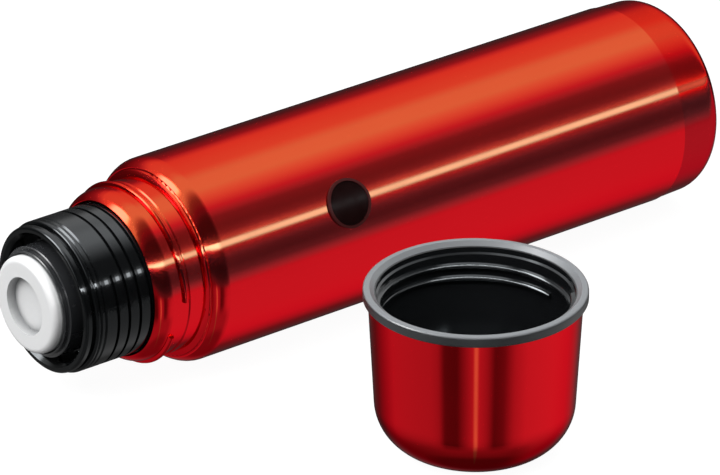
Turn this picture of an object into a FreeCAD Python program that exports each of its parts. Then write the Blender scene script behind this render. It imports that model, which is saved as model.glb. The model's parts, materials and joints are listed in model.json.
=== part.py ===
"""Steel vacuum flask with a push-button screw stopper and a drinking cup, laid out ready to pour.

The flask lies along X with its base on the plane x = 0 and its mouth towards -X.
The cup stands beside it, open end up, on the same table as the flask.
Millimetres, +Z up, origin at the centre of the flask's base face.

Outlines of the flask's pieces are drawn as (station, radius): station is the distance from the
base face along the flask's axis. Outlines of the cup's pieces are drawn as (radius, height).
"""
import FreeCAD, Part
import math
import os
import re
import Sketcher

doc = FreeCAD.newDocument("vacuum_flask")

# ---------------------------------------------------------------- driving dimensions, in mm

DIMENSIONS = {
    # steel outer shell
    "body_radius": 35.0,
    "steel_wall": 0.6,
    "seam_station": 18.5,
    "seam_chamfer": 0.1,
    "shoulder_station": 213.5,
    "shoulder_round": 7.3,
    "band_radius": 29.9,
    "band_end_station": 226.0,
    "band_step": 0.4,
    "neck_root_radius": 29.5,
    "lip_station": 232.6,
    "lip_slope_round": 6.7,
    "lip_inner_radius": 26.1,
    "lip_leg_end_station": 232.5,
    "neck_thread_crest_radius": 30.8,
    "neck_thread_station": 227.9,
    "neck_thread_length": 4.1,
    "shoulder_line_round": 0.9,
    "shoulder_line_lift": 0.65,
    "shoulder_line_angle": 37.0,
    # one pitch for all threads
    "thread_pitch": 4.4,
    "thread_root_width": 2.2,
    "thread_crest_width": 1.5,
    "thread_crest_round": 0.85,
    # base
    "cap_radius": 34.75,
    "cap_foot_radius": 34.4,
    "cap_corner": 7.0,
    "cap_joggle_radius": 34.35,
    "cap_joggle_length": 3.4,
    "outer_bottom_station": 22.2,
    "outer_bottom_flange": 4.3,
    "exhaust_hole_radius": 1.6,
    "bead_radius": 2.6,
    "bead_height": 1.0,
    "pan_radius": 5.4,
    "pan_height": 2.4,
    "pan_wall": 0.4,
    "getter_radius": 4.6,
    "getter_height": 1.8,
    # badge on the side of the body
    "badge_station": 161.5,
    "badge_angle": 28.0,
    "badge_radius": 8.4,
    "badge_rim_width": 0.9,
    "badge_thickness": 0.5,
    "badge_rim_height": 0.3,
    # inner vessel
    "vessel_radius": 32.3,
    "vessel_wall": 0.5,
    "vessel_end_station": 40.0,
    "vessel_bottom_station": 28.0,
    "vessel_bottom_round": 8.3,
    "vessel_shoulder_station": 186.2,
    "vessel_top_station": 232.4,
    "bore_radius": 26.2,
    "throat_radius": 23.0,
    "seat_station": 201.35,
    "seat_wall_shift": 0.2,
    "bore_thread_crest_radius": 25.2,
    "bore_thread_station": 212.3,
    "bore_thread_length": 17.0,
    "bore_thread_width": 0.8,
    "bore_thread_crest_width": 0.5,
    "foil_radius": 33.25,
    "foil_thickness": 0.25,
    "foil_start_station": 44.0,
    "foil_end_station": 182.0,
    # stopper body
    "stopper_end_station": 217.0,
    "stopper_radius": 25.8,
    "stopper_inner_radius": 22.9,
    "stopper_groove_radius": 24.9,
    "stopper_groove_top_station": 252.3,
    "stopper_groove_mouth_width": 1.2,
    "stopper_groove_floor_width": 0.9,
    "stopper_groove_overcut": 0.3,
    "head_line_station": 256.8,
    "head_line_depth": 0.5,
    "head_second_line_station": 258.7,
    "head_round_station": 259.5,
    "head_round": 0.9,
    "head_neck_radius": 24.0,
    "ring_station": 261.2,
    "recess_radius": 21.6,
    "head_plate_station": 257.5,
    "head_plate_thickness": 3.0,
    "stem_hole_radius": 3.4,
    "guide_end_station": 244.0,
    "guide_radius": 6.6,
    "o_ring_pocket_radius": 5.0,
    "o_ring_pocket_length": 3.0,
    "pour_hole_radius": 1.2,
    "pour_hole_circle_radius": 20.2,
    "pour_hole_count": 12,
    "pour_hole_overcut": 1.0,
    # stopper head
    "ring_radius": 24.9,
    "ring_front_station": 264.0,
    "ring_front_round": 1.0,
    "ring_inner_drop": 1.4,
    "ring_foot_chamfer": 0.6,
    "collar_outer_radius": 18.8,
    "collar_inner_radius": 16.8,
    "collar_ledge_station": 266.0,
    "collar_front_station": 267.5,
    "collar_front_radius": 17.7,
    "collar_chamfer": 0.3,
    # push button
    "button_radius": 16.5,
    "button_skirt_station": 261.8,
    "button_front_station": 271.0,
    "button_edge_round": 2.0,
    "button_wall": 1.5,
    "dish_radius": 9.87,
    "dish_floor_radius": 9.4,
    "dish_depth": 3.0,
    "boss_radius": 5.2,
    # valve
    "stem_radius": 3.0,
    "stem_foot_radius": 2.0,
    "stem_foot_station": 208.6,
    "stem_end_station": 203.6,
    "valve_radius": 11.5,
    "valve_disc_thickness": 2.2,
    "valve_disc_chamfer": 0.8,
    "valve_seal_radius": 11.0,
    "valve_seal_hole_radius": 7.2,
    "valve_seal_thickness": 1.85,
    "clip_radius": 4.0,
    "clip_groove_radius": 1.5,
    "clip_thickness": 0.8,
    "clip_mouth_width": 2.4,
    "o_ring_round": 0.95,
    "o_ring_gap": 0.03,
    "spring_radius": 8.0,
    "spring_wire_radius": 0.5,
    "spring_length": 7.0,
    "spring_turns": 3.25,
    "spring_gap": 0.05,
    "washer_outer_radius": 9.9,
    "washer_inner_radius": 6.7,
    "washer_thickness": 0.7,
    # stopper base and neck seal
    "base_foot_station": 210.5,
    "base_foot_radius": 22.4,
    "seal_bed_radius": 21.4,
    "seal_bed_start_station": 211.4,
    "seal_bed_end_station": 215.0,
    "base_flange_radius": 24.3,
    "plug_radius": 22.75,
    "plug_inner_radius": 21.2,
    "plug_end_station": 221.0,
    "base_floor_station": 214.0,
    "valve_seat_depth": 0.8,
    "plug_taper": 1.4,
    "valve_opening_radius": 9.0,
    "flow_tube_radius": 13.2,
    "flow_tube_inner_radius": 12.0,
    "flow_tube_end_station": 250.0,
    "seal_radius": 24.3,
    "seal_start_station": 211.6,
    "seal_end_station": 214.9,
    "seal_chamfer": 1.1,
    "foam_inner_radius": 13.5,
    "foam_outer_radius": 22.6,
    "foam_start_station": 221.3,
    "foam_end_station": 248.5,
    # cup
    "cup_x": -173.6,
    "cup_y": -112.2,
    "cup_height": 56.1,
    "cup_foot_radius": 16.3,
    "cup_corner": 16.3,
    "cup_flare": 3.1,
    "rim_band_height": 3.6,
    "rim_radius": 36.2,
    "rim_inner_radius": 32.5,
    "rim_round": 0.9,
    "rim_chamfer": 0.4,
    "rim_crown_width": 2.2,
    "rim_dip": 1.3,
    "liner_gap": 0.25,
    "liner_floor_height": 3.4,
    "liner_bore_radius": 31.45,
    "liner_bore_bottom_height": 42.0,
    "liner_lip_drop": 0.2,
    "liner_lip_radius": 32.1,
    "liner_lip_height": 1.8,
    "liner_step_height": 0.5,
    "cup_thread_root_sink": 0.4,
    "cup_thread_crest_radius": 30.15,
    "cup_thread_height": 43.3,
    "cup_thread_length": 8.4,
}

dims = doc.addObject("Spreadsheet::Sheet", "Dims")
scratch = doc.addObject("Spreadsheet::Sheet", "Scratch")
for row, (alias, size) in enumerate(DIMENSIONS.items(), start=1):
    dims.set(f"A{row}", alias)
    dims.set(f"B{row}", str(size))
    dims.setAlias(f"B{row}", alias)
doc.recompute()


def formula(text):
    """The text with each dimension's name turned into a reference to its cell."""
    return re.sub(r"[a-z][a-z_]+", lambda word: "Dims." + word.group() if word.group() in DIMENSIONS
                  else word.group(), str(text))


def value(text):
    """The number that a formula of dimensions gives."""
    scratch.set("A1", "=" + formula(text))
    scratch.recompute()
    return float(scratch.get("A1"))


# ---------------------------------------------------------------- sketches and features

# The flask's pieces are drawn with station along +X, then turned so that the mouth faces -X.
FLASK_PLACEMENT = FreeCAD.Placement(FreeCAD.Vector(), FreeCAD.Rotation(FreeCAD.Vector(0, 0, 1), 180))
CUP_PLACEMENT = FreeCAD.Placement(
    FreeCAD.Vector(value("cup_x"), value("cup_y"), -value("body_radius")), FreeCAD.Rotation())
FLASK = ("XY_Plane", "H_Axis", FLASK_PLACEMENT)
CUP = ("XZ_Plane", "V_Axis", CUP_PLACEMENT)


def new_body(name, frame):
    body = doc.addObject("PartDesign::Body", name)
    body.Label = name
    body.Placement = frame[2]
    return body


def new_sketch(body, name, plane_role):
    sketch = body.newObject("Sketcher::SketchObject", name)
    plane = next(item for item in body.Origin.OriginFeatures if item.Role == plane_role)
    sketch.AttachmentSupport = [(plane, "")]
    sketch.MapMode = "FlatFace"
    return sketch


def arc_between(start, end, radius):
    """Arc from start to end. A positive radius has its centre on the left of the way, a negative
    one on the right. A sketch's arc always runs anticlockwise, so the second one is reversed."""
    chord = end - start
    height = math.sqrt(max(radius * radius - chord.Length ** 2 / 4, 0.0))
    left = FreeCAD.Vector(-chord.y, chord.x, 0).normalize()
    centre = (start + end) * 0.5 + left * math.copysign(height, radius)
    first, last = (start, end) if radius > 0 else (end, start)
    angles = [math.atan2(p.y - centre.y, p.x - centre.x) for p in (first, last)]
    circle = Part.Circle(centre, FreeCAD.Vector(0, 0, 1), abs(radius))
    return Part.ArcOfCircle(circle, angles[0], angles[1])


def pin_vertex(sketch, geometry, position, index, along, across):
    """Holds one vertex at its place: on an axis where the coordinate is 0, else by a formula."""
    for kind, axis, text in (("DistanceX", -2, along), ("DistanceY", -1, across)):
        if str(text) == "0":
            sketch.addConstraint(Sketcher.Constraint("PointOnObject", geometry, position, axis))
            continue
        number = sketch.addConstraint(
            Sketcher.Constraint(kind, -1, 1, geometry, position, value(text)))
        name = f"{kind}_{index}"
        sketch.renameConstraint(number, name)
        sketch.setExpression("Constraints." + name, formula(text))


def draw_outline(sketch, points):
    """Closed outline. A point is (along, across) or (along, across, radius), and the radius turns
    the side to the next point into an arc."""
    corners = [FreeCAD.Vector(value(p[0]), value(p[1]), 0) for p in points]
    ends = []
    for index, point in enumerate(points):
        start = corners[index]
        end = corners[(index + 1) % len(points)]
        if len(point) == 2:
            geometry = sketch.addGeometry(Part.LineSegment(start, end), False)
            ends.append((geometry, 1, 2))
            continue
        radius = value(point[2])
        geometry = sketch.addGeometry(arc_between(start, end, radius), False)
        ends.append((geometry, 1, 2) if radius > 0 else (geometry, 2, 1))
    for index, (geometry, first, last) in enumerate(ends):
        following = ends[(index + 1) % len(ends)]
        sketch.addConstraint(
            Sketcher.Constraint("Coincident", geometry, last, following[0], following[1]))
    for index, point in enumerate(points):
        geometry, first, last = ends[index]
        pin_vertex(sketch, geometry, first, index, point[0], point[1])
        if len(point) == 3:
            number = sketch.addConstraint(
                Sketcher.Constraint("Radius", geometry, abs(value(point[2]))))
            name = f"Arc_{index}"
            sketch.renameConstraint(number, name)
            sketch.setExpression("Constraints." + name, f"abs({formula(point[2])})")


def draw_circle(sketch, along, across, radius):
    """Circle with its centre and radius held by formulas."""
    centre = FreeCAD.Vector(value(along), value(across), 0)
    circle = Part.Circle(centre, FreeCAD.Vector(0, 0, 1), value(radius))
    geometry = sketch.addGeometry(circle, False)
    pin_vertex(sketch, geometry, 3, 0, along, across)
    number = sketch.addConstraint(Sketcher.Constraint("Radius", geometry, value(radius)))
    sketch.renameConstraint(number, "Circle_radius")
    sketch.setExpression("Constraints.Circle_radius", formula(radius))


def build_feature(body, feature, removes):
    """Rebuilds the body and makes sure that the feature added or removed material as it should."""
    before = body.Shape.Volume
    doc.recompute()
    change = body.Shape.Volume - before
    if change == 0 or (change < 0) != removes:
        raise RuntimeError(f"{feature.Name} changed the volume by {change:.2f} mm3")


def turned_piece(name, frame, points):
    """A piece turned about its axis from one closed outline."""
    body = new_body(name, frame)
    sketch = new_sketch(body, name + "_outline", frame[0])
    draw_outline(sketch, points)
    revolution = body.newObject("PartDesign::Revolution", name + "_turning")
    revolution.Profile = sketch
    revolution.ReferenceAxis = (sketch, [frame[1]])
    revolution.Angle = 360
    sketch.Visibility = False
    doc.recompute()
    return body


def add_helix(body, frame, points, pitch, length, cut=False):
    """Winds a closed outline round the axis, as added or removed material."""
    kind = "SubtractiveHelix" if cut else "AdditiveHelix"
    sketch = new_sketch(body, body.Label + "_thread_section", frame[0])
    draw_outline(sketch, points)
    helix = body.newObject("PartDesign::" + kind, body.Label + "_thread")
    helix.Profile = sketch
    helix.ReferenceAxis = (sketch, [frame[1]])
    helix.Mode = 0
    helix.setExpression("Pitch", formula(pitch))
    helix.setExpression("Height", formula(length))
    helix.LeftHanded = False
    build_feature(body, helix, removes=cut)


def ridge(centre, root, crest, root_width, crest_width):
    """Thread section on the flask's pieces: a trapezium on a cylinder, its root sunk in the wall."""
    return [
        (f"{centre} - {root_width} / 2", root),
        (f"{centre} + {root_width} / 2", root),
        (f"{centre} + {crest_width} / 2", crest),
        (f"{centre} - {crest_width} / 2", crest),
    ]


# how far the rounded crest of the cup's and neck's thread stands above its two corners
CREST_RISE = "(thread_crest_round - sqrt(thread_crest_round ^ 2 - (thread_crest_width / 2) ^ 2))"


# ---------------------------------------------------------------- flask body

def make_outer_shell():
    inner_round = "(shoulder_round - steel_wall)"
    shoulder_axis = "(body_radius - shoulder_round)"
    outer_end = ("shoulder_station + "
                 f"sqrt(shoulder_round ^ 2 - (band_radius - {shoulder_axis}) ^ 2)")
    inner_end = ("shoulder_station + "
                 f"sqrt({inner_round} ^ 2 - (band_radius - steel_wall - {shoulder_axis}) ^ 2)")
    lip_rise = "(lip_inner_radius + steel_wall - neck_root_radius + lip_slope_round)"
    lip_end = f"lip_station + sqrt(lip_slope_round ^ 2 - {lip_rise} ^ 2)"
    fold = f"lip_station + sqrt((lip_slope_round - steel_wall) ^ 2 - {lip_rise} ^ 2)"
    body = turned_piece("outer_shell", FLASK, [
        ("seam_station", "body_radius - steel_wall"),
        ("shoulder_station", "body_radius - steel_wall", f"-{inner_round}"),
        (inner_end, "band_radius - steel_wall"),
        ("band_end_station", "band_radius - steel_wall"),
        ("band_end_station + band_step", "neck_root_radius - steel_wall"),
        ("lip_station", "neck_root_radius - steel_wall", "-(lip_slope_round - steel_wall)"),
        (fold, "lip_inner_radius + steel_wall"),
        ("lip_leg_end_station", "lip_inner_radius + steel_wall"),
        ("lip_leg_end_station", "lip_inner_radius"),
        (f"{lip_end} - steel_wall", "lip_inner_radius", "steel_wall"),
        (lip_end, "lip_inner_radius + steel_wall", "lip_slope_round"),
        ("lip_station", "neck_root_radius"),
        ("band_end_station + band_step", "neck_root_radius"),
        ("band_end_station", "band_radius"),
        (outer_end, "band_radius", "shoulder_round"),
        ("shoulder_station", "body_radius"),
        ("seam_station", "body_radius"),
    ])
    # a fine pressed line runs round the shoulder's curve
    sketch = new_sketch(body, "shoulder_line_section", "XY_Plane")
    reach = "(shoulder_round + shoulder_line_lift)"
    draw_circle(sketch,
                f"shoulder_station + {reach} * cos(shoulder_line_angle * 1 deg)",
                f"{shoulder_axis} + {reach} * sin(shoulder_line_angle * 1 deg)",
                "shoulder_line_round")
    groove = body.newObject("PartDesign::Groove", "shoulder_line")
    groove.Profile = sketch
    groove.ReferenceAxis = (sketch, ["H_Axis"])
    groove.Angle = 360
    build_feature(body, groove, removes=True)
    root = "neck_root_radius - steel_wall / 2"
    crest = f"neck_thread_crest_radius - {CREST_RISE}"
    add_helix(body, FLASK, [
        ("neck_thread_station - thread_root_width / 2", root),
        ("neck_thread_station + thread_root_width / 2", root),
        ("neck_thread_station + thread_crest_width / 2", crest, "thread_crest_round"),
        ("neck_thread_station - thread_crest_width / 2", crest),
    ], "thread_pitch", "neck_thread_length")


def make_base():
    foot_inner = "(cap_foot_radius - steel_wall)"
    joggle_inner = "cap_joggle_radius - steel_wall"
    turned_piece("base_cap", FLASK, [
        ("0", "0"),
        ("steel_wall", "0"),
        ("steel_wall", "cap_foot_radius - cap_corner", "-(cap_corner - steel_wall)"),
        ("cap_corner", foot_inner),
        ("seam_station - steel_wall", "cap_radius - steel_wall"),
        ("seam_station", joggle_inner),
        ("seam_station + cap_joggle_length", joggle_inner),
        ("seam_station + cap_joggle_length", "cap_joggle_radius"),
        ("seam_station", "cap_joggle_radius"),
        ("seam_station - seam_chamfer", "cap_radius"),
        ("cap_corner", "cap_foot_radius", "cap_corner"),
        ("0", "cap_foot_radius - cap_corner"),
    ])
    plate_top = "outer_bottom_station + steel_wall"
    turned_piece("outer_bottom", FLASK, [
        ("outer_bottom_station", "exhaust_hole_radius"),
        (plate_top, "exhaust_hole_radius"),
        (plate_top, joggle_inner),
        ("outer_bottom_station + outer_bottom_flange", joggle_inner),
        ("outer_bottom_station + outer_bottom_flange", "cap_joggle_radius"),
        ("outer_bottom_station", "cap_joggle_radius"),
    ])
    turned_piece("glass_bead", FLASK, [
        ("outer_bottom_station - bead_height", "0"),
        (plate_top, "0"),
        (plate_top, "exhaust_hole_radius"),
        ("outer_bottom_station", "exhaust_hole_radius"),
        ("outer_bottom_station", "bead_radius", "(bead_radius ^ 2 + bead_height ^ 2) / 2 / bead_height"),
    ])
    pan_floor = "outer_bottom_station + steel_wall + pan_wall"
    turned_piece("getter_pan", FLASK, [
        (plate_top, "0"),
        (pan_floor, "0"),
        (pan_floor, "pan_radius - pan_wall"),
        (plate_top + " + pan_height", "pan_radius - pan_wall"),
        (plate_top + " + pan_height", "pan_radius"),
        (plate_top, "pan_radius"),
    ])
    turned_piece("getter", FLASK, [
        (pan_floor, "0"),
        (pan_floor + " + getter_height", "0"),
        (pan_floor + " + getter_height", "getter_radius"),
        (pan_floor, "getter_radius"),
    ])


def make_badge():
    """A plain round plate with a raised rim, bent to the body's curve."""
    length = "2 * body_radius"
    angle = math.radians(value("badge_angle"))
    outward = FreeCAD.Vector(0, -math.cos(angle), math.sin(angle))
    outward_placement = FreeCAD.Placement(
        FreeCAD.Vector(-value("badge_station"), 0, 0),
        FreeCAD.Rotation(FreeCAD.Vector(0, 0, 1), outward))
    sideways_placement = FreeCAD.Placement(
        FreeCAD.Vector(-value("badge_station + body_radius"), 0, 0),
        FreeCAD.Rotation(FreeCAD.Vector(0, 0, 1), FreeCAD.Vector(1, 0, 0)))

    def cylinder(name, radius):
        item = doc.addObject("Part::Cylinder", name)
        item.setExpression("Radius", formula(radius))
        item.setExpression("Height", formula(length))
        return item

    def boolean(kind, name, base, tool):
        item = doc.addObject(kind, name)
        item.Base = base
        item.Tool = tool
        return item

    def bent_plate(name, thickness, outer, inner):
        """The part of a round bar, drilled through if inner is given, that lies in a thin tube
        round the body."""
        bar = cylinder(name + "_bar", outer)
        if inner:
            bar = boolean("Part::Cut", name + "_ring", bar, cylinder(name + "_drill", inner))
        bar.Placement = outward_placement
        tube = boolean("Part::Cut", name + "_tube",
                       cylinder(name + "_sleeve", f"body_radius + {thickness}"),
                       cylinder(name + "_core", "body_radius"))
        tube.Placement = sideways_placement
        return boolean("Part::Common", name, bar, tube)

    badge = boolean("Part::Fuse", "badge",
                    bent_plate("badge_plate", "badge_thickness", "badge_radius", None),
                    bent_plate("badge_rim", "badge_thickness + badge_rim_height", "badge_radius",
                               "badge_radius - badge_rim_width"))
    badge.Label = "badge"


def make_inner_vessel():
    inner = "(vessel_radius - vessel_wall)"
    round_inner = f"({inner} - throat_radius)"
    round_outer = "(vessel_radius - throat_radius)"
    seat_length = "(bore_radius - throat_radius)"
    outer_start = ("vessel_shoulder_station + "
                   f"sqrt({round_outer} ^ 2 - vessel_wall ^ 2)")
    body = turned_piece("inner_vessel", FLASK, [
        ("vessel_end_station", inner),
        ("vessel_shoulder_station", inner, f"-{round_inner}"),
        (f"vessel_shoulder_station + {round_inner}", "throat_radius"),
        (f"seat_station - {seat_length}", "throat_radius"),
        ("seat_station", "bore_radius"),
        ("vessel_top_station", "bore_radius"),
        ("vessel_top_station", "bore_radius + vessel_wall"),
        ("seat_station - seat_wall_shift", "bore_radius + vessel_wall"),
        (f"seat_station - seat_wall_shift - {seat_length}", "throat_radius + vessel_wall"),
        (outer_start, "throat_radius + vessel_wall", round_outer),
        ("vessel_shoulder_station", "vessel_radius"),
        ("vessel_end_station", "vessel_radius"),
    ])
    add_helix(body, FLASK,
              ridge("bore_thread_station", "bore_radius + vessel_wall / 2",
                    "bore_thread_crest_radius", "bore_thread_width",
                    "bore_thread_crest_width"),
              "thread_pitch", "bore_thread_length")
    turned_piece("inner_bottom", FLASK, [
        ("vessel_bottom_station", "0"),
        ("vessel_bottom_station + vessel_wall", "0"),
        ("vessel_bottom_station + vessel_wall", "vessel_radius - vessel_bottom_round",
         "-(vessel_bottom_round - vessel_wall)"),
        ("vessel_bottom_station + vessel_bottom_round", inner),
        ("vessel_end_station", inner),
        ("vessel_end_station", "vessel_radius"),
        ("vessel_bottom_station + vessel_bottom_round", "vessel_radius", "vessel_bottom_round"),
        ("vessel_bottom_station", "vessel_radius - vessel_bottom_round"),
    ])
    turned_piece("heat_foil", FLASK, [
        ("foil_start_station", "foil_radius - foil_thickness"),
        ("foil_end_station", "foil_radius - foil_thickness"),
        ("foil_end_station", "foil_radius"),
        ("foil_start_station", "foil_radius"),
    ])


# ---------------------------------------------------------------- stopper

def make_stopper_body():
    plate_back = "head_plate_station - head_plate_thickness"
    body = turned_piece("stopper_body", FLASK, [
        ("stopper_end_station", "stopper_inner_radius"),
        (plate_back, "stopper_inner_radius"),
        (plate_back, "guide_radius"),
        ("guide_end_station", "guide_radius"),
        ("guide_end_station", "o_ring_pocket_radius"),
        ("guide_end_station + o_ring_pocket_length", "o_ring_pocket_radius"),
        ("guide_end_station + o_ring_pocket_length", "stem_hole_radius"),
        ("head_plate_station", "stem_hole_radius"),
        ("head_plate_station", "recess_radius"),
        ("ring_station", "recess_radius"),
        ("ring_station", "head_neck_radius"),
        ("head_round_station + head_round", "head_neck_radius"),
        ("head_round_station + head_round", "stopper_radius - head_round", "head_round"),
        ("head_round_station", "stopper_radius"),
        ("head_second_line_station + head_line_depth", "stopper_radius"),
        ("head_second_line_station", "stopper_radius - head_line_depth"),
        ("head_second_line_station - head_line_depth", "stopper_radius"),
        ("head_line_station + head_line_depth", "stopper_radius"),
        ("head_line_station", "stopper_radius - head_line_depth"),
        ("head_line_station - head_line_depth", "stopper_radius"),
        ("stopper_end_station + head_line_depth", "stopper_radius"),
        ("stopper_end_station", "stopper_radius - head_line_depth"),
    ])
    # the cut winds up from below the stopper's end, in step with the ridge in the flask's bore
    add_helix(body, FLASK,
              ridge("bore_thread_station", "stopper_radius + stopper_groove_overcut",
                    "stopper_groove_radius", "stopper_groove_mouth_width",
                    "stopper_groove_floor_width"),
              "thread_pitch", "stopper_groove_top_station - bore_thread_station", cut=True)
    # pouring holes through the head plate, in the floor of the ring-shaped recess
    sketch = new_sketch(body, "pour_hole_section", "YZ_Plane")
    draw_circle(sketch, "pour_hole_circle_radius", "0", "pour_hole_radius")
    sketch.setExpression("AttachmentOffset.Base.z", formula(f"{plate_back} - pour_hole_overcut"))
    pocket = body.newObject("PartDesign::Pocket", "pour_hole")
    pocket.Profile = sketch
    pocket.setExpression("Length", formula("head_plate_thickness + 2 * pour_hole_overcut"))
    pocket.Reversed = True
    build_feature(body, pocket, removes=True)
    pattern = body.newObject("PartDesign::PolarPattern", "pour_holes")
    pattern.Originals = [pocket]
    pattern.Axis = (sketch, ["N_Axis"])
    pattern.Angle = 360
    pattern.setExpression("Occurrences", formula("pour_hole_count"))
    body.Tip = pattern
    build_feature(body, pattern, removes=True)


def make_stopper_head():
    turned_piece("stopper_top_ring", FLASK, [
        ("ring_station", "recess_radius"),
        ("ring_front_station - ring_inner_drop", "recess_radius"),
        ("ring_front_station", "ring_radius - 2 * ring_front_round"),
        ("ring_front_station", "ring_radius - ring_front_round", "ring_front_round"),
        ("ring_front_station - ring_front_round", "ring_radius"),
        ("ring_station + ring_foot_chamfer", "ring_radius"),
        ("ring_station", "ring_radius - ring_foot_chamfer"),
    ])
    turned_piece("stopper_collar", FLASK, [
        ("head_plate_station", "collar_inner_radius"),
        ("collar_front_station - collar_chamfer", "collar_inner_radius"),
        ("collar_front_station", "collar_inner_radius + collar_chamfer"),
        ("collar_front_station", "collar_front_radius - collar_chamfer"),
        ("collar_front_station - collar_chamfer", "collar_front_radius"),
        ("collar_ledge_station", "collar_front_radius"),
        ("collar_ledge_station", "collar_outer_radius - collar_chamfer"),
        ("collar_ledge_station - collar_chamfer", "collar_outer_radius"),
        ("head_plate_station", "collar_outer_radius"),
    ])


def make_stopper_base():
    turned_piece("stopper_base", FLASK, [
        ("base_foot_station", "valve_opening_radius"),
        ("base_floor_station - valve_seat_depth", "valve_opening_radius"),
        ("base_floor_station - valve_seat_depth", "flow_tube_inner_radius"),
        ("flow_tube_end_station", "flow_tube_inner_radius"),
        ("flow_tube_end_station", "flow_tube_radius"),
        ("base_floor_station", "flow_tube_radius"),
        ("base_floor_station", "plug_inner_radius - plug_taper"),
        ("plug_end_station", "plug_inner_radius"),
        ("plug_end_station", "plug_radius"),
        ("stopper_end_station", "plug_radius"),
        ("stopper_end_station", "base_flange_radius"),
        ("seal_bed_end_station", "base_flange_radius"),
        ("seal_bed_end_station", "seal_bed_radius"),
        ("seal_bed_start_station", "seal_bed_radius"),
        ("seal_bed_start_station", "base_foot_radius"),
        ("base_foot_station", "base_foot_radius"),
    ])
    turned_piece("neck_seal", FLASK, [
        ("seal_start_station", "seal_bed_radius"),
        ("seal_end_station", "seal_bed_radius"),
        ("seal_end_station", "seal_radius"),
        ("seal_start_station + seal_chamfer", "seal_radius"),
        ("seal_start_station", "seal_radius - seal_chamfer"),
    ])
    turned_piece("stopper_insulation", FLASK, [
        ("foam_start_station", "foam_inner_radius"),
        ("foam_end_station", "foam_inner_radius"),
        ("foam_end_station", "foam_outer_radius"),
        ("foam_start_station", "foam_outer_radius"),
    ])


def make_button_and_valve():
    dish_floor = "button_front_station - dish_depth"
    underside = "button_front_station - button_wall"
    dish_underside = f"{dish_floor} - button_wall"
    turned_piece("push_button", FLASK, [
        (dish_floor, "0"),
        (dish_underside, "0"),
        (dish_underside, "stem_radius"),
        ("button_skirt_station", "stem_radius"),
        ("button_skirt_station", "boss_radius"),
        (dish_underside, "boss_radius"),
        (dish_underside, "dish_radius + button_wall"),
        (underside, "dish_radius + button_wall"),
        (underside, "button_radius - button_wall"),
        ("button_skirt_station", "button_radius - button_wall"),
        ("button_skirt_station", "button_radius"),
        ("button_front_station - button_edge_round", "button_radius", "-button_edge_round"),
        ("button_front_station", "button_radius - button_edge_round"),
        ("button_front_station", "dish_radius"),
        (dish_floor, "dish_floor_radius"),
    ])
    clip_top = "stem_foot_station - valve_disc_thickness"
    turned_piece("valve_stem", FLASK, [
        ("stem_end_station", "0"),
        (dish_underside, "0"),
        (dish_underside, "stem_radius"),
        ("stem_foot_station", "stem_radius"),
        ("stem_foot_station", "stem_foot_radius"),
        (clip_top, "stem_foot_radius"),
        (clip_top, "clip_groove_radius"),
        (f"{clip_top} - clip_thickness", "clip_groove_radius"),
        (f"{clip_top} - clip_thickness", "stem_foot_radius"),
        ("stem_end_station", "stem_foot_radius"),
    ])
    turned_piece("valve_disc", FLASK, [
        (clip_top, "stem_foot_radius"),
        ("stem_foot_station", "stem_foot_radius"),
        ("stem_foot_station", "valve_radius"),
        (f"{clip_top} + valve_disc_chamfer", "valve_radius"),
        (clip_top, "valve_radius - valve_disc_chamfer"),
    ])
    turned_piece("valve_seal", FLASK, [
        ("stem_foot_station", "valve_seal_hole_radius"),
        ("stem_foot_station + valve_seal_thickness", "valve_seal_hole_radius"),
        ("stem_foot_station + valve_seal_thickness", "valve_seal_radius"),
        ("stem_foot_station", "valve_seal_radius"),
    ])
    make_stem_clip(clip_top)
    # the O-ring and the spring are round in section
    o_ring = doc.addObject("Part::Torus", "stem_o_ring")
    o_ring.Label = "stem_o_ring"
    o_ring.setExpression("Radius1", formula("stem_radius + o_ring_round + o_ring_gap"))
    o_ring.setExpression("Radius2", formula("o_ring_round"))
    o_ring.Placement = FreeCAD.Placement(
        FreeCAD.Vector(-value("guide_end_station + o_ring_pocket_length / 2"), 0, 0),
        FreeCAD.Rotation(FreeCAD.Vector(0, 1, 0), 90))
    turned_piece("spring_washer", FLASK, [
        ("head_plate_station", "washer_inner_radius"),
        ("head_plate_station + washer_thickness", "washer_inner_radius"),
        ("head_plate_station + washer_thickness", "washer_outer_radius"),
        ("head_plate_station", "washer_outer_radius"),
    ])
    make_return_spring()


def make_stem_clip(clip_top):
    """Open ring that snaps into the stem's groove under the valve plate."""
    body = turned_piece("stem_clip", FLASK, [
        (f"{clip_top} - clip_thickness", "clip_groove_radius"),
        (clip_top, "clip_groove_radius"),
        (clip_top, "clip_radius"),
        (f"{clip_top} - clip_thickness", "clip_radius"),
    ])
    sketch = new_sketch(body, "clip_mouth_section", "XY_Plane")
    draw_outline(sketch, [
        (f"{clip_top} - 2 * clip_thickness", "0"),
        (f"{clip_top} + clip_thickness", "0"),
        (f"{clip_top} + clip_thickness", "clip_radius + clip_thickness"),
        (f"{clip_top} - 2 * clip_thickness", "clip_radius + clip_thickness"),
    ])
    pocket = body.newObject("PartDesign::Pocket", "clip_mouth")
    pocket.Profile = sketch
    pocket.Midplane = True
    pocket.setExpression("Length", formula("clip_mouth_width"))
    build_feature(body, pocket, removes=True)


def make_return_spring():
    body = new_body("return_spring", FLASK)
    sketch = new_sketch(body, "wire_section", "XY_Plane")
    start = "head_plate_station + washer_thickness + spring_wire_radius + spring_gap"
    draw_circle(sketch, start, "spring_radius", "spring_wire_radius")
    helix = body.newObject("PartDesign::AdditiveHelix", "coils")
    helix.Profile = sketch
    helix.ReferenceAxis = (sketch, ["H_Axis"])
    helix.Mode = 0
    helix.setExpression("Pitch", formula("spring_length / spring_turns"))
    helix.setExpression("Height", formula("spring_length"))
    doc.recompute()


# ---------------------------------------------------------------- cup

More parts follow.
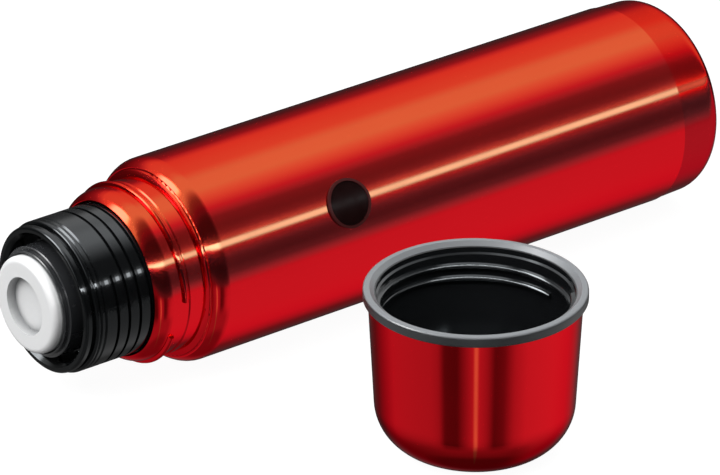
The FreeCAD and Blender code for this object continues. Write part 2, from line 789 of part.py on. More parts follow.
def make_cup():
    band_bottom = "(cup_height - rim_band_height)"

    def round_end(depth):
        """Where the foot's round ends and the flared wall begins, at a depth inside the shell."""
        return (f"cup_foot_radius + (cup_corner - {depth}) * cos(cup_flare * 1 deg)",
                f"cup_corner - (cup_corner - {depth}) * sin(cup_flare * 1 deg)")

    def wall_top(depth):
        """The wall's end under the rim's band, at a depth inside the shell."""
        radius, height = round_end(depth)
        return (f"{radius} + ({band_bottom} - ({height})) * tan(cup_flare * 1 deg)", band_bottom)

    turned_piece("cup_shell", CUP, [
        ("0", "0"),
        ("cup_foot_radius", "0", "cup_corner"),
        round_end("0"),
        wall_top("0"),
        wall_top("steel_wall"),
        (*round_end("steel_wall"), "-(cup_corner - steel_wall)"),
        ("cup_foot_radius", "steel_wall"),
        ("0", "steel_wall"),
    ])
    skin = "(steel_wall + liner_gap)"
    liner_top = "(cup_height - rim_dip - liner_lip_drop)"
    body = turned_piece("cup_liner", CUP, [
        ("0", skin),
        ("cup_foot_radius", skin, f"cup_corner - {skin}"),
        round_end(skin),
        wall_top(skin),
        ("rim_inner_radius", band_bottom),
        ("rim_inner_radius", liner_top),
        ("liner_lip_radius", liner_top),
        ("liner_lip_radius", f"{liner_top} - liner_lip_height"),
        ("liner_bore_radius", f"{liner_top} - liner_lip_height - liner_step_height"),
        ("liner_bore_radius", "liner_bore_bottom_height"),
        (*round_end("liner_floor_height"), "-(cup_corner - liner_floor_height)"),
        ("cup_foot_radius", "liner_floor_height"),
        ("0", "liner_floor_height"),
    ])
    root = "liner_bore_radius + cup_thread_root_sink"
    crest = f"cup_thread_crest_radius + {CREST_RISE}"
    add_helix(body, CUP, [
        (root, "cup_thread_height - thread_root_width / 2"),
        (root, "cup_thread_height + thread_root_width / 2"),
        (crest, "cup_thread_height + thread_crest_width / 2", "thread_crest_round"),
        (crest, "cup_thread_height - thread_crest_width / 2"),
    ], "thread_pitch", "cup_thread_length")
    turned_piece("cup_rim_ring", CUP, [
        ("rim_inner_radius", band_bottom),
        ("rim_radius - rim_chamfer", band_bottom),
        ("rim_radius", f"{band_bottom} + rim_chamfer"),
        ("rim_radius", "cup_height - rim_round", "rim_round"),
        ("rim_radius - rim_round", "cup_height"),
        ("rim_radius - rim_crown_width", "cup_height"),
        ("rim_inner_radius", "cup_height - rim_dip"),
    ])


# ---------------------------------------------------------------- build, check and write

make_outer_shell()
make_base()
make_badge()
make_inner_vessel()
make_stopper_body()
make_stopper_head()
make_stopper_base()
make_button_and_valve()
make_cup()
doc.removeObject("Scratch")
doc.recompute()

NODES = [
    "outer_shell", "base_cap", "outer_bottom", "glass_bead", "getter_pan", "getter", "badge",
    "inner_vessel", "inner_bottom", "heat_foil",
    "stopper_body", "stopper_top_ring", "stopper_collar", "stopper_base", "stopper_insulation",
    "neck_seal", "stem_o_ring", "spring_washer", "return_spring",
    "push_button", "valve_stem", "valve_disc", "valve_seal", "stem_clip",
    "cup_shell", "cup_liner", "cup_rim_ring",
]

for item in doc.Objects:
    if "Invalid" in item.State or "Error" in item.State:
        raise RuntimeError(f"{item.Label} failed: {item.State}")

os.makedirs("parts", exist_ok=True)
for node in NODES:
    shape = doc.getObjectsByLabel(node)[0].Shape
    if shape.isNull() or not shape.isValid() or len(shape.Solids) != 1:
        raise RuntimeError(f"{node} is not one sound solid")
    shape.exportStep(os.path.join("parts", node + ".step"))
    print(f"{node}: {shape.Volume:.1f} mm3")
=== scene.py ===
"""Looks for the vacuum flask: finishes, studio, camera."""
import bpy
import json
import math
from mathutils import Matrix, Vector


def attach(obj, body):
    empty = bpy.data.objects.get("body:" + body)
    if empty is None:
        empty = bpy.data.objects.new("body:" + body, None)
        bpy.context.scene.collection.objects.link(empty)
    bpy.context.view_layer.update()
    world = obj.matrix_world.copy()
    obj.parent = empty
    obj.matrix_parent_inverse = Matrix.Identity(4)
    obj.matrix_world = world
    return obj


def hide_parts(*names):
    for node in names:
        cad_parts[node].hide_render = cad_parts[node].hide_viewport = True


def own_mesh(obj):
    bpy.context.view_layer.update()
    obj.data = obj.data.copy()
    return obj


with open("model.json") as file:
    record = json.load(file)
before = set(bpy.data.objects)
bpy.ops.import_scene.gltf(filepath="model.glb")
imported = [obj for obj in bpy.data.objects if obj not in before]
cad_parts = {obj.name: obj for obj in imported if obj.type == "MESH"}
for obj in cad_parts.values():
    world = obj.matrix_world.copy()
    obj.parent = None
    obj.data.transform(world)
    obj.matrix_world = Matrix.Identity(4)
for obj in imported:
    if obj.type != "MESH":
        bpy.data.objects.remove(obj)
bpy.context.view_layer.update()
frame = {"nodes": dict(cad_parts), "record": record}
nodes = frame["nodes"]

scene = bpy.context.scene


# ---------------------------------------------------------------- node helpers

class Tree:
    """Short calls for building one node tree."""

    def __init__(self, owner):
        owner.use_nodes = True
        self.tree = owner.node_tree
        self.tree.nodes.clear()

    def node(self, kind, **settings):
        item = self.tree.nodes.new(kind)
        for name, setting in settings.items():
            setattr(item, name, setting)
        return item

    def put(self, socket, source):
        """source is another socket, a number, a colour or a vector."""
        if isinstance(source, bpy.types.NodeSocket):
            self.tree.links.new(source, socket)
        elif isinstance(source, (tuple, list)) and len(source) == 3 and socket.type == "RGBA":
            socket.default_value = (*source, 1.0)
        else:
            socket.default_value = source

    def math(self, operation, *inputs):
        item = self.node("ShaderNodeMath", operation=operation)
        for socket, source in zip(item.inputs, inputs):
            self.put(socket, source)
        return item.outputs[0]

    def product(self, *factors):
        result = factors[0]
        for factor in factors[1:]:
            result = self.math("MULTIPLY", result, factor)
        return result

    def distance(self, source, centre):
        """How far source lies from centre, whichever side it is on."""
        return self.math("ABSOLUTE", self.math("SUBTRACT", source, centre))

    def smooth(self, source, low, high, to_low=0.0, to_high=1.0):
        """Eases from to_low at low to to_high at high."""
        item = self.node("ShaderNodeMapRange", interpolation_type="SMOOTHSTEP")
        for socket, number in zip(item.inputs, (source, low, high, to_low, to_high)):
            self.put(socket, number)
        return item.outputs[0]

    def ramp(self, source, stops):
        """stops is a list of (position, grey or colour), joined by straight lines."""
        item = self.node("ShaderNodeValToRGB")
        item.color_ramp.interpolation = "LINEAR"
        elements = item.color_ramp.elements
        while len(elements) < len(stops):
            elements.new(1.0)
        for element, (position, colour) in zip(elements, stops):
            element.position = position
            if not isinstance(colour, tuple):
                colour = grey(colour)
            element.color = (*colour, 1.0)
        self.put(item.inputs[0], source)
        return item.outputs[0]

    def mix(self, factor, first, second, blend_type="MIX"):
        item = self.node("ShaderNodeMix", data_type="RGBA", clamp_factor=True, blend_type=blend_type)
        self.put(item.inputs[0], factor)
        self.put(item.inputs[6], first)
        self.put(item.inputs[7], second)
        return item.outputs[2]

    def split(self, vector):
        item = self.node("ShaderNodeSeparateXYZ")
        self.put(item.inputs[0], vector)
        return item.outputs

    def vector_math(self, operation, first, second):
        item = self.node("ShaderNodeVectorMath", operation=operation)
        self.put(item.inputs[0], first)
        self.put(item.inputs[1], second)
        return item.outputs

    def dot(self, first, second):
        return self.vector_math("DOT_PRODUCT", first, second)["Value"]

    def noise(self, vector, scale, detail):
        item = self.node("ShaderNodeTexNoise")
        self.put(item.inputs["Vector"], vector)
        item.inputs["Scale"].default_value = scale
        item.inputs["Detail"].default_value = detail
        return item.outputs[0]

    def uneven(self, noise, low, high):
        """A value that wanders between low and high with a noise."""
        return self.smooth(noise, 0.3, 0.7, low, high)

    def bump(self, height, distance, strength):
        item = self.node("ShaderNodeBump")
        self.put(item.inputs["Height"], height)
        item.inputs["Distance"].default_value = distance
        item.inputs["Strength"].default_value = strength
        return item.outputs[0]


def grey(level):
    return (level, level, level)


# Ramps run once round a full turn. Each starts where the studio is dark, so its two ends meet unseen.
FULL_TURN = 360
ROUND_X_START = -150
AZIMUTH_START = 52


def degrees(width):
    """A width in degrees, as a share of a ramp."""
    return width / FULL_TURN


def at(angle):
    """Where a direction about the X axis lies in the ramps that use angle_round_x."""
    return degrees(angle - ROUND_X_START) % 1.0


def azimuth(angle):
    """Where a compass direction lies in the ramps that use azimuth_turn."""
    return degrees(angle - AZIMUTH_START) % 1.0


def angle_round_x(tree, direction):
    """Turn of a direction about the X axis, counted from -Y towards +Z."""
    parts = tree.split(direction)
    angle = tree.math("ARCTAN2", parts[2], tree.product(parts[1], -1.0))
    turn = tree.product(angle, 1 / math.tau)
    return tree.math("FRACT", tree.math("ADD", turn, degrees(-ROUND_X_START)))


def azimuth_turn(tree, direction):
    """Compass turn of a direction about the Z axis, counted from +X towards +Y."""
    parts = tree.split(direction)
    turn = tree.product(tree.math("ARCTAN2", parts[1], parts[0]), 1 / math.tau)
    return tree.math("FRACT", tree.math("ADD", turn, 1.0 - degrees(AZIMUTH_START)))


# ---------------------------------------------------------------- places

CUP_SIDE = -0.05                # everything beyond this y belongs to the cup
CUP_AXIS = (-0.1736, -0.1122, 0.0)  # a point on the cup's upright axis
CUP_FOOT_SHADE = (-0.0255, -0.0165)   # heights between which the painted shade on the cup's foot gives way to its wall
MIRROR_REACH = 0.074            # longer mirror rays pass through the black plastic
BASE_SEAM = (-0.0190, -0.0182)  # between these x the body's red gives way to the base cap's, which is rougher and has its own painted reflection tint
BADGE_STATION = -0.1615         # x of the badge's centre
BADGE_ANGLE = math.radians(28)  # of the badge's face about the X axis, from -Y towards +Z
BADGE_RIM = (0.0073, 0.0076)    # radii between which its paler rim begins
STOPPER_PITCH = 0.0044          # of the stopper's thread
SPOT_PLACE = 0.2                # where between two turns of the thread the painted highlight spots lie
FLOOR_HEIGHT = -0.0351          # just under the flask and the cup


# ---------------------------------------------------------------- studio

FIELD = 0.66                    # the large pale boards low in front
SOFTBOX = 1.35                  # the long softbox overhead
FLAG = 0.075                    # the black flags either side of the strip lamp
STRIP = 4.0                     # the thin strip lamp between the flags, at its far end
STRIP_NEAR = 8.0                # the same lamp at the mouth's end, which only edges mirror
STRIP_ANGLE = 26.2              # where the strip lamp lies about the X axis, in degrees
FRONT = 232                     # compass direction of the camera, and of a thin lit line before it
FRONT_LINE = 0.40               # what that line adds, which only the cup's front mirrors
UNDER = 0.34                    # the even ground below the boards, which only the cup's foot mirrors
LAMP = 13.0                     # the tall lamp behind the mouth, mirrored by rounded edges
LAMP_ACROSS = (-0.358, -0.929, 0.098)   # the direction in which its width is measured


def lamp_part(tree, direction):
    """How far a direction points into the tall lamp behind the mouth."""
    parts = tree.split(direction)
    across = tree.dot(direction, LAMP_ACROSS)
    return tree.product(
        tree.smooth(across, -0.42, -0.24),
        tree.smooth(across, 0.02, 0.16, 1.0, 0.0),
        tree.smooth(parts[2], 0.24, 0.40),
        tree.smooth(parts[2], 0.80, 0.90, 1.0, 0.0),
        tree.smooth(parts[0], -0.44, -0.34, 1.0, 0.0),
    )


def low_part(tree, direction):
    """How far a direction points at the low boards, which only upright walls mirror."""
    return tree.smooth(tree.split(direction)[2], -0.22, -0.34)


def upper_studio(tree, direction):
    """Boards, flags, strip lamp and softbox, which lie along the flask."""
    x = tree.split(direction)[0]
    turn = angle_round_x(tree, direction)
    boards = tree.ramp(turn, [
        (at(-150), 0.02),
        (at(-118), 0.05),
        (at(-98), FIELD * 0.50),
        (at(-86), FIELD * 0.84),
        (at(-62), FIELD * 1.06),
        (at(-22), FIELD * 0.92),
        (at(-15), FIELD * 0.60),
        (at(-7), FLAG * 1.7),
        (at(2), FLAG),
        (at(11), FLAG * 1.3),
        (at(21), 0.30),
        (at(31), 0.55),
        (at(38), 0.20),
        (at(46), 0.155),
        (at(57), 0.21),
        (at(67), 0.56),
        (at(79), 0.95),
        (at(93), SOFTBOX),
        (at(108), SOFTBOX),
        (at(121), SOFTBOX * 0.76),
        (at(147), SOFTBOX * 0.76),
        (at(160), 0.31),
        (at(178), 0.10),
        (at(205), 0.02),
    ])
    # surfaces that turn to the mouth mirror a curtain, which dims all in front of the softbox
    curtain = tree.product(tree.smooth(x, 0.28, 0.50, 1.0, 0.0),
                           tree.smooth(turn, at(78), at(96), 0.70, 0.0))
    boards = tree.product(boards, tree.math("SUBTRACT", 1.0, curtain))
    in_strip = tree.smooth(tree.distance(turn, at(STRIP_ANGLE)), degrees(2.0), degrees(4.0), 1.0, 0.0)
    strip = tree.product(in_strip, tree.smooth(x, 0.1, 0.45, STRIP_NEAR, STRIP))
    return tree.math("ADD", boards, strip)


def lower_studio(tree, direction):
    """Upright boards round the cup, with dark gaps either side of the camera."""
    parts = tree.split(direction)
    turn = azimuth_turn(tree, direction)
    boards = tree.ramp(turn, [
        (azimuth(52), 0.04),
        (azimuth(90), 0.12),
        (azimuth(108), 0.32),
        (azimuth(126), 0.50),
        (azimuth(180), 0.43),
        (azimuth(189), 0.36),
        (azimuth(196), 0.10),
        (azimuth(211), 0.085),
        (azimuth(221), 0.30),
        (azimuth(227), 0.44),
        (azimuth(238), 0.46),
        (azimuth(245), 0.34),
        (azimuth(253), 0.10),
        (azimuth(264), 0.15),
        (azimuth(277), 0.44),
        (azimuth(292), 0.60),
        (azimuth(330), 0.68),
        (azimuth(343), 0.68),
        (azimuth(354), 0.66),
        (azimuth(8), 0.50),
        (azimuth(26), 0.16),
        (azimuth(51.5), 0.04),
    ])
    line = tree.smooth(tree.distance(turn, azimuth(FRONT)), degrees(0.9), degrees(3.4), FRONT_LINE, 0.0)
    boards = tree.math("ADD", boards, line)
    even = tree.product(tree.smooth(parts[2], -0.56, -0.76),
                        tree.smooth(parts[0], 0.16, 0.58, 1.0, 0.0))
    boards = tree.mix(even, boards, grey(UNDER))
    straight_below = tree.smooth(parts[2], -0.96, -0.86, 0.55, 1.0)
    return tree.product(boards, straight_below)


def studio_brightness(tree, direction):
    """Brightness of the studio in each direction, as polished surfaces see it."""
    boards = tree.mix(low_part(tree, direction), upper_studio(tree, direction),
                      lower_studio(tree, direction))
    return tree.math("ADD", boards, tree.product(lamp_part(tree, direction), LAMP))


def make_world():
    """Mirrors see the studio and the camera sees white. All else is lit softly, from above and
    from the mouth's end."""
    world = bpy.data.worlds.new("studio")
    scene.world = world
    tree = Tree(world)
    direction = tree.node("ShaderNodeTexCoord").outputs["Generated"]
    light_path = tree.node("ShaderNodeLightPath").outputs
    parts = tree.split(direction)
    from_above = tree.smooth(parts[2], 0.45, 1.0, 0.04, 2.8)
    from_mouth_end = tree.smooth(parts[0], -0.95, -0.2, 0.42, 0.0)
    soft = tree.math("ADD", from_above, from_mouth_end)
    not_scattered = tree.math("LESS_THAN", light_path["Diffuse Depth"], 0.5)
    sees_studio = tree.product(light_path["Is Glossy Ray"], not_scattered)
    colour = tree.mix(sees_studio, soft, studio_brightness(tree, direction))
    colour = tree.mix(light_path["Is Camera Ray"], colour, grey(1.0))
    background = tree.node("ShaderNodeBackground")
    tree.put(background.inputs["Color"], colour)
    output = tree.node("ShaderNodeOutputWorld")
    tree.put(output.inputs["Surface"], background.outputs[0])
    world.cycles.sampling_method = "NONE"


def make_floor():
    """A pale floor that glows of itself, so that only faint shadows lie on it."""
    bpy.ops.mesh.primitive_plane_add(size=12.0, location=(-0.1, 0.0, FLOOR_HEIGHT))
    floor = bpy.context.object
    floor.name = "floor"
    material = bpy.data.materials.new("pale_floor")
    tree = Tree(material)
    position = tree.node("ShaderNodeNewGeometry").outputs["Position"]
    grain = tree.noise(position, 90.0, 4.0)
    paper = tree.node("ShaderNodeBsdfDiffuse")
    tree.put(paper.inputs["Color"], tree.mix(grain, grey(0.09), grey(0.11)))
    glow = tree.node("ShaderNodeEmission")
    glow.inputs["Strength"].default_value = 0.96
    both = tree.node("ShaderNodeAddShader")
    tree.put(both.inputs[0], paper.outputs[0])
    tree.put(both.inputs[1], glow.outputs[0])
    output = tree.node("ShaderNodeOutputMaterial")
    tree.put(output.inputs["Surface"], both.outputs[0])
    floor.data.materials.append(material)
    floor.visible_glossy = False
    floor.visible_diffuse = False


def make_area_lamp(name, place, target, size, power):
    data = bpy.data.lights.new(name, "AREA")
    data.shape = "DISK"
    data.size = size
    data.energy = power
    lamp = bpy.data.objects.new(name, data)
    lamp.location = place
    aim = Vector(target) - Vector(place)
    lamp.rotation_euler = aim.to_track_quat("-Z", "Y").to_euler()
    scene.collection.objects.link(lamp)
    return lamp


def make_lamps():
    key = make_area_lamp("key", place=(-1.6, 0.1, 1.4), target=(-0.2, -0.05, 0.0), size=1.2, power=22.0)
    key.visible_glossy = False
    # a wide, low lamp that only the cup's inside mirrors
    cup_lamp = make_area_lamp("cup_lamp", place=(-0.347, -0.334, 0.55), target=(-0.1736, -0.1122, 0.02),
                              size=1.2, power=8.0)
    cup_lamp.data.shape = "RECTANGLE"
    cup_lamp.data.size_y = 0.14
    cup_lamp.visible_camera = False
    receivers = bpy.data.collections.new("cup_lamp_receivers")
    receivers.objects.link(nodes["cup_liner"])
    cup_lamp.light_linking.receiver_collection = receivers


def make_camera():
    place = (-1.3258, -1.5233, 0.9258)
    turn = math.radians(-38.07)
    tilt = math.radians(25.97)
    data = bpy.data.cameras.new("camera")
    data.sensor_width = 36.0
    data.lens = 318.63
    data.clip_start = 0.05
    data.clip_end = 50.0
    camera = bpy.data.objects.new("camera", data)
    back = Vector((math.sin(turn) * math.cos(tilt), -math.cos(turn) * math.cos(tilt), math.sin(tilt)))
    right = Vector((math.cos(turn), math.sin(turn), 0.0))
    up = back.cross(right)
    facing = Matrix((right, up, back)).transposed()
    camera.matrix_world = Matrix.Translation(place) @ facing.to_4x4()
    scene.collection.objects.link(camera)
    scene.camera = camera


# ---------------------------------------------------------------- finishes

def start_material(name):
    """A new material, its tree, and the inputs of its surface shader. The tree keeps that shader as
    surface, and the socket that it feeds as result."""
    material = bpy.data.materials.new(name)
    tree = Tree(material)
    tree.surface = tree.node("ShaderNodeBsdfPrincipled")
    tree.result = tree.node("ShaderNodeOutputMaterial").inputs["Surface"]
    tree.put(tree.result, tree.surface.outputs[0])
    return material, tree, tree.surface.inputs


def painted_reflection_tint(tree, mirrored):
    """Painted reflection colour, chosen by the mirrored direction: deep red for the boards, orange for
    the softbox, peach for the lamps.
    """
    deep = (0.90, 0.0115, 0.0200)
    peach = (0.250, 0.113, 0.060)
    upper = tree.ramp(angle_round_x(tree, mirrored), [
        (at(-150), deep),
        (at(-20), deep),
        (at(-4), (0.90, 0.075, 0.085)),
        (at(12), (0.90, 0.070, 0.080)),
        (at(20), (0.90, 0.030, 0.028)),
        # the peach stops paint the strip lamp's highlight colour
        (at(23.0), peach),
        (at(29.4), peach),
        (at(32.0), (0.80, 0.070, 0.040)),
        (at(38), (0.90, 0.050, 0.045)),
        (at(60), (0.90, 0.030, 0.034)),
        (at(68), (0.90, 0.016, 0.022)),
        (at(79), (0.74, 0.050, 0.0235)),
        (at(92), (0.56, 0.080, 0.0273)),
        (at(110), (0.56, 0.076, 0.0265)),
        (at(121), (0.70, 0.048, 0.0200)),
        (at(148), (0.70, 0.036, 0.0180)),
        (at(160), (0.90, 0.024, 0.026)),
        (at(209), deep),
    ])
    # painted reflection colour: an orange line where the cup's front mirrors the thin line before the
    # camera
    from_line = tree.distance(azimuth_turn(tree, mirrored), azimuth(FRONT))
    beside_line = tree.smooth(from_line, degrees(0.5), degrees(4.0))
    lower = tree.mix(beside_line, (0.86, 0.075, 0.034), deep)
    tint = tree.mix(low_part(tree, mirrored), upper, lower)
    # painted highlight colour where the tall lamp is mirrored
    return tree.mix(lamp_part(tree, mirrored), tint, (0.40, 0.036, 0.019))


def lacquer_tone_and_painted_light(tree, mirrored, place, base_end):
    """How the lacquer's colour is darkened: a little unevenly by a random tone, more on the base cap by
    its painted reflection tint, and on the cup's foot by painted shade.
    """
    uneven = tree.mix(tree.noise(place, 25.0, 3.0), grey(1.0), (0.955, 0.93, 0.93))
    # the base cap's painted reflection tint, chosen by the mirrored direction
    base_cap_painted_reflection = tree.ramp(angle_round_x(tree, mirrored), [
        (at(-150), (0.62, 0.90, 0.90)),
        (at(8), (0.62, 0.90, 0.90)),
        (at(20), (0.82, 0.21, 0.20)),
        (at(33), (0.82, 0.21, 0.20)),
        (at(48), (0.88, 0.42, 0.50)),
        (at(110), (0.94, 0.44, 0.50)),
        (at(209), (0.62, 0.90, 0.90)),
    ])
    tone_and_painted_light = tree.mix(base_end, uneven, base_cap_painted_reflection)
    # painted shade on the cup's foot, darker towards the floor
    parts = tree.split(place)
    on_cup = tree.math("LESS_THAN", parts[1], CUP_SIDE)
    painted_foot_shade = tree.product(on_cup, tree.smooth(parts[2], *CUP_FOOT_SHADE, 1.0, 0.0))
    return tree.mix(painted_foot_shade, tone_and_painted_light, (0.34, 0.30, 0.30))


def make_red_lacquer():
    """Clear red lacquer over polished steel, with painted reflection colours chosen by what it mirrors,
    and painted shade on the cup's foot.
    """
    material, tree, inputs = start_material("red_lacquer")
    coordinates = tree.node("ShaderNodeTexCoord").outputs
    mirrored = coordinates["Reflection"]
    place = coordinates["Object"]
    base_end = tree.smooth(tree.split(place)[0], *BASE_SEAM)
    tone_and_painted_light = lacquer_tone_and_painted_light(tree, mirrored, place, base_end)
    tree.put(inputs["Base Color"], tree.mix(1.0, painted_reflection_tint(tree, mirrored), tone_and_painted_light, "MULTIPLY"))
    inputs["Metallic"].default_value = 1.0
    inputs["Specular Tint"].default_value = (0.85, 0.48, 0.50, 1.0)
    roughness = tree.uneven(tree.noise(place, 60.0, 4.0), 0.09, 0.12)
    duller = tree.product(base_end, 0.07)
    tree.put(inputs["Roughness"], tree.math("ADD", roughness, duller))
    peel = tree.noise(place, 900.0, 2.0)
    tree.put(inputs["Normal"], tree.bump(peel, 0.00001, 0.04))
    return material


def stopper_sheen(tree, mirrored, painted_spot):
    """Painted reflection strength, chosen by the mirrored direction: how strongly the stopper mirrors
    the softbox strongly, the flags little, the painted highlight spots fully.
    """
    sheen = tree.ramp(angle_round_x(tree, mirrored), [
        (at(-150), 0.08),
        (at(-108), 0.10),
        (at(-90), 0.22),
        (at(-22), 0.22),
        (at(-10), 0.10),
        (at(20), 0.12),
        (at(25), 0.26),
        (at(31), 0.18),
        (at(58), 0.14),
        (at(74), 0.56),
        (at(88), 0.76),
        (at(110), 0.70),
        (at(134), 0.60),
        (at(150), 0.30),
        (at(165), 0.10),
        (at(209), 0.08),
    ])
    # painted reflection strength towards the tall lamp
    sheen = tree.mix(lamp_part(tree, mirrored), sheen, grey(0.40))
    return tree.mix(painted_spot, sheen, grey(1.0))


def painted_highlight_spot(tree, mirrored, place):
    """How far a point lies in a painted highlight spot, one to each turn of the stopper's thread, where
    the strip lamp is mirrored."""
    turn = tree.math("FRACT", tree.math("DIVIDE", tree.split(place)[0], STOPPER_PITCH))
    from_lamp = tree.distance(angle_round_x(tree, mirrored), at(STRIP_ANGLE))
    return tree.product(tree.smooth(tree.distance(turn, SPOT_PLACE), 0.08, 0.24, 1.0, 0.0),
                        tree.smooth(from_lamp, degrees(3), degrees(9), 1.0, 0.0))


def unseen_in_mirrors(tree, on_liner):
    """1 for the black plastic in distant mirror images, and for the cup's outside in all of them,
    so that the cup doesn't darken the flask behind it."""
    light_path = tree.node("ShaderNodeLightPath").outputs
    geometry = tree.node("ShaderNodeNewGeometry").outputs
    from_axis = tree.vector_math("SUBTRACT", geometry["Position"], CUP_AXIS)[0]
    level = tree.vector_math("MULTIPLY", from_axis, (1.0, 1.0, 0.0))[0]
    outward = tree.math("GREATER_THAN", tree.dot(level, geometry["True Normal"]), 0.0)
    outside = tree.math("MAXIMUM", outward, geometry["Backfacing"])
    far = tree.math("GREATER_THAN", light_path["Ray Length"], MIRROR_REACH)
    unseen = tree.math("MAXIMUM", far, tree.product(on_liner, outside))
    return tree.product(light_path["Is Glossy Ray"], unseen)


def make_black_gloss():
    """Glossy black plastic of the stopper and the cup's liner."""
    material, tree, inputs = start_material("black_gloss")
    coordinates = tree.node("ShaderNodeTexCoord").outputs
    mirrored = coordinates["Reflection"]
    place = coordinates["Object"]
    on_liner = tree.math("LESS_THAN", tree.split(place)[1], CUP_SIDE)
    # painted highlight spots and painted reflection strength on the stopper
    painted_spot = painted_highlight_spot(tree, mirrored, place)
    tone = tree.noise(place, 140.0, 5.0)
    tree.put(inputs["Base Color"], tree.mix(tone, (0.0028, 0.0031, 0.0034), (0.0042, 0.0046, 0.0050)))
    roughness = tree.uneven(tree.noise(place, 420.0, 4.0), 0.10, 0.14)
    tree.put(inputs["Roughness"], tree.product(roughness, tree.smooth(painted_spot, 0.0, 1.0, 1.0, 0.35)))
    sheen = stopper_sheen(tree, mirrored, painted_spot)
    tree.put(inputs["Specular IOR Level"], tree.mix(on_liner, sheen, grey(0.68)))
    inputs["Specular Tint"].default_value = (0.90, 0.96, 1.0, 1.0)
    grain = tree.noise(place, 700.0, 3.0)
    tree.put(inputs["Normal"], tree.bump(grain, 0.00001, 0.3))
    clear = tree.node("ShaderNodeBsdfTransparent")
    both = tree.node("ShaderNodeMixShader")
    tree.put(both.inputs[0], unseen_in_mirrors(tree, on_liner))
    tree.put(both.inputs[1], tree.surface.outputs[0])
    tree.put(both.inputs[2], clear.outputs[0])
    tree.put(tree.result, both.outputs[0])
    return material


def make_badge_finish():
    """Dark gloss badge with a lighter raised rim."""
    material, tree, inputs = start_material("dark_badge")
    place = tree.node("ShaderNodeTexCoord").outputs["Object"]
    along = tree.math("SUBTRACT", tree.split(place)[0], BADGE_STATION)
    # square to the way the badge faces
    around = tree.dot(place, (0.0, math.sin(BADGE_ANGLE), math.cos(BADGE_ANGLE)))
    squares = tree.math("ADD", tree.product(along, along), tree.product(around, around))
    rim = tree.smooth(tree.math("SQRT", squares), *BADGE_RIM)
    tone = tree.noise(place, 300.0, 4.0)
    dark = tree.mix(tone, (0.006, 0.002, 0.002), (0.010, 0.003, 0.003))
    tree.put(inputs["Base Color"], tree.mix(rim, dark, (0.055, 0.013, 0.013)))
    tree.put(inputs["Roughness"], tree.uneven(tone, 0.16, 0.24))
    inputs["Specular IOR Level"].default_value = 0.05
    grain = tree.noise(place, 1500.0, 3.0)
    tree.put(inputs["Normal"], tree.bump(grain, 0.00001, 0.3))
    return material


def make_rim_ring_finish():
    """Satin grey plastic, paler on its upward-facing top than round its side, as painted light from
    above.
    """
    material, tree, inputs = start_material("grey_plastic")
    place = tree.node("ShaderNodeTexCoord").outputs["Object"]
    upward = tree.split(tree.node("ShaderNodeNewGeometry").outputs["Normal"])[2]
    # painted light: surfaces facing up are paler, the side darker
    painted_top_light = tree.smooth(upward, 0.25, 0.85)
    tone = tree.noise(place, 60.0, 3.0)
    side = tree.mix(tone, (0.018, 0.020, 0.022), (0.024, 0.026, 0.029))
    top = tree.mix(tone, (0.150, 0.160, 0.170), (0.170, 0.180, 0.190))
    tree.put(inputs["Base Color"], tree.mix(painted_top_light, side, top))
    tree.put(inputs["Roughness"], tree.uneven(tone, 0.34, 0.40))
    inputs["Specular IOR Level"].default_value = 0.7
    return material


def make_white_plastic():
    """Smooth white plastic, with painted shade greying its hollows."""
    material, tree, inputs = start_material("white_plastic")
    place = tree.node("ShaderNodeTexCoord").outputs["Object"]
    tone = tree.noise(place, 140.0, 5.0)
    openness = tree.node("ShaderNodeAmbientOcclusion", samples=8)
    openness.inputs["Distance"].default_value = 0.012
    # painted shade where the surface is enclosed
    painted_hollow_shade = tree.smooth(openness.outputs["AO"], 0.45, 0.90, 1.0, 0.0)
    unshaded_tone = tree.mix(tone, (0.80, 0.805, 0.81), (0.82, 0.825, 0.83))
    tree.put(inputs["Base Color"], tree.mix(painted_hollow_shade, unshaded_tone, (0.20, 0.205, 0.21)))
    tree.put(inputs["Roughness"], tree.uneven(tone, 0.31, 0.39))
    grain = tree.noise(place, 1500.0, 3.0)
    tree.put(inputs["Normal"], tree.bump(grain, 0.00002, 0.4))
    return material


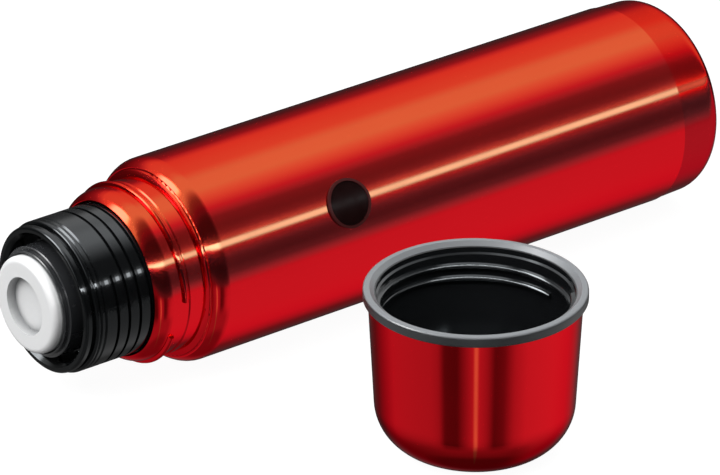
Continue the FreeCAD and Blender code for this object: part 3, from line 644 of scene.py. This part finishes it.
def make_plain(name, colour, roughness, grain_scale, grain_depth, metallic=0.0):
    """One colour with slight changes of tone and wear, and a fine grain."""
    tone_spread = 0.06
    wear_spread = 0.15
    material, tree, inputs = start_material(name)
    place = tree.node("ShaderNodeTexCoord").outputs["Object"]
    tone = tree.noise(place, 140.0, 5.0)
    dark = tuple(part * (1 - tone_spread) for part in colour)
    light = tuple(min(1.0, part * (1 + tone_spread)) for part in colour)
    tree.put(inputs["Base Color"], tree.mix(tone, dark, light))
    wear = tree.noise(place, 420.0, 4.0)
    tree.put(inputs["Roughness"],
             tree.uneven(wear, roughness * (1 - wear_spread), roughness * (1 + wear_spread)))
    inputs["Metallic"].default_value = metallic
    grain = tree.noise(place, grain_scale, 3.0)
    tree.put(inputs["Normal"], tree.bump(grain, grain_depth, 0.4))
    return material


# name: (colour, roughness, scale of the grain, depth of the grain in metres, metallic)
PLAIN_FINISHES = {
    "bare_steel": ((0.62, 0.62, 0.63), 0.28, 900.0, 0.00002, 1.0),
    "spring_steel": ((0.55, 0.55, 0.56), 0.2, 1200.0, 0.00001, 1.0),
    "getter_metal": ((0.35, 0.35, 0.36), 0.6, 2400.0, 0.00004, 1.0),
    "foil": ((0.85, 0.85, 0.86), 0.25, 300.0, 0.00008, 1.0),
    "solder_glass": ((0.35, 0.45, 0.35), 0.1, 300.0, 0.00002, 0.0),
    "dark_grey_plastic": ((0.022, 0.023, 0.025), 0.24, 1500.0, 0.00002, 0.0),
    "clear_silicone": ((0.75, 0.75, 0.73), 0.4, 800.0, 0.00002, 0.0),
    "black_rubber": ((0.03, 0.03, 0.03), 0.5, 1500.0, 0.00003, 0.0),
    "foam": ((0.85, 0.82, 0.70), 0.8, 1800.0, 0.0002, 0.0),
}


def give_finishes():
    finishes = {
        "red_lacquer": make_red_lacquer(),
        "black_gloss": make_black_gloss(),
        "dark_badge": make_badge_finish(),
        "grey_plastic": make_rim_ring_finish(),
        "white_plastic": make_white_plastic(),
    }
    for name, values in PLAIN_FINISHES.items():
        finishes[name] = make_plain(name, *values)
    slots = {row["node"]: row["material_slot"] for row in frame["record"]["subparts"]}
    for name, item in nodes.items():
        item.data.materials.clear()
        item.data.materials.append(finishes[slots[name]])


# ---------------------------------------------------------------- pieces

def make_pressed_spring():
    """Stands for the return spring, as a copy of its mesh carried with the stopper."""
    piece = bpy.data.objects.new("pressed_spring", nodes["return_spring"].data.copy())
    scene.collection.objects.link(piece)
    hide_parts("return_spring")
    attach(piece, "stopper")
    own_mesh(piece)


give_finishes()
make_pressed_spring()

# the cup isn't mirrored in the flask
for name in ("cup_shell", "cup_rim_ring"):
    nodes[name].visible_glossy = False

make_world()
make_floor()
make_lamps()
make_camera()
scene.view_settings.view_transform = "Standard"
